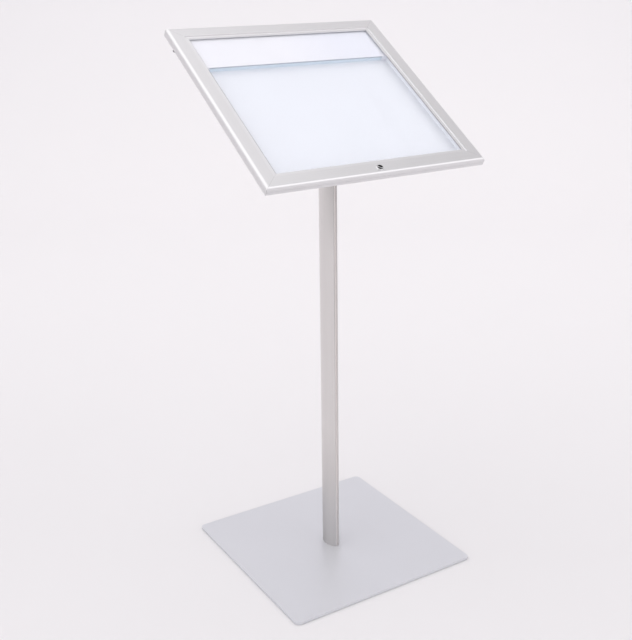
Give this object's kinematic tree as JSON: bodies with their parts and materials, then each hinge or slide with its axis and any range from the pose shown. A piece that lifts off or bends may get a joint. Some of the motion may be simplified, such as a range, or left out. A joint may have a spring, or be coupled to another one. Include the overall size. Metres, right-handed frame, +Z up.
{
  "type": "menu display stand",
  "caption": "Free-standing menu stand: a flat lockable glazed case on a slim bowed post, leaning towards the reader over a square base plate.",
  "frame": {"origin": "on the floor under the middle of the square base plate", "axes": "+Z up, +X to the reader's right, -Y towards the reader, where the case is lowest"},
  "size_m": [0.494, 0.45, 1.1428],
  "materials": {
    "base_paint": "fine silver powder coat",
    "pad_rubber": "matte",
    "zinc_steel": "zinc plated",
    "post_aluminium": "satin anodised, lines along the post",
    "bracket_paint": "fine silver powder coat",
    "case_aluminium": "satin anodised",
    "door_aluminium": "satin anodised",
    "key_zinc": "die cast zinc",
    "white_sheet": "satin white",
    "white_panel": "satin white",
    "rivet_aluminium": "plain",
    "foam": "foam",
    "seal_rubber": "matte",
    "gasket_rubber": "matte",
    "header_white": "satin white",
    "opal_strip": "opal acrylic",
    "board_white": "matte",
    "chip_yellow": "clear resin over phosphor",
    "black_plastic": "matte",
    "hinge_aluminium": "satin anodised",
    "clear_sheet": "clear acrylic",
    "lock_chrome": "bright",
    "plug_steel": "brushed"
  },
  "bodies": {
    "stand": {"base_plate": "base_paint", "base_pads": "pad_rubber", "base_screws": "zinc_steel", "post": "post_aluminium", "head_bracket": "bracket_paint", "post_screws": "zinc_steel", "bracket_screws": "zinc_steel", "bracket_nuts": "zinc_steel", "case_rail_top": "case_aluminium", "case_rail_bottom": "case_aluminium", "case_rail_left": "case_aluminium", "case_rail_right": "case_aluminium", "case_corner_keys": "key_zinc", "case_key_screws": "zinc_steel", "back_sheet": "white_sheet", "back_rivets": "rivet_aluminium", "panel_spacers": "foam", "magnet_panel": "white_panel", "door_seal": "seal_rubber", "header_cover": "header_white", "header_screws": "zinc_steel", "light_diffuser": "opal_strip", "led_board": "board_white", "led_chips": "chip_yellow", "led_lead": "black_plastic", "power_inlet": "black_plastic", "inlet_nut": "black_plastic", "hinge_case_leaf": "hinge_aluminium", "hinge_case_screws": "zinc_steel"},
    "door": {"hinge_door_leaf": "hinge_aluminium", "hinge_door_screws": "zinc_steel", "door_rail_top": "door_aluminium", "door_rail_bottom": "door_aluminium", "door_rail_left": "door_aluminium", "door_rail_right": "door_aluminium", "door_corner_keys": "key_zinc", "door_key_screws": "zinc_steel", "glazing": "clear_sheet", "glazing_gasket": "gasket_rubber", "lock_barrel": "lock_chrome", "lock_nut": "zinc_steel"},
    "lock": {"lock_plug": "plug_steel", "lock_cam": "zinc_steel", "cam_screw": "zinc_steel"}
  },
  "joints": [
    {"name": "door_hinge", "type": "hinge", "parent": "stand", "child": "door", "pos_m": [0, 0.20976, 1.138], "axis": [-1, 0, 0], "range_deg": [0, 95]},
    {"name": "lock_turn", "type": "hinge", "parent": "door", "child": "lock", "pos_m": [0, -0.18221, 0.90126], "axis": [0, 0.5358, -0.8443], "range_deg": [0, 90]}
  ]
}
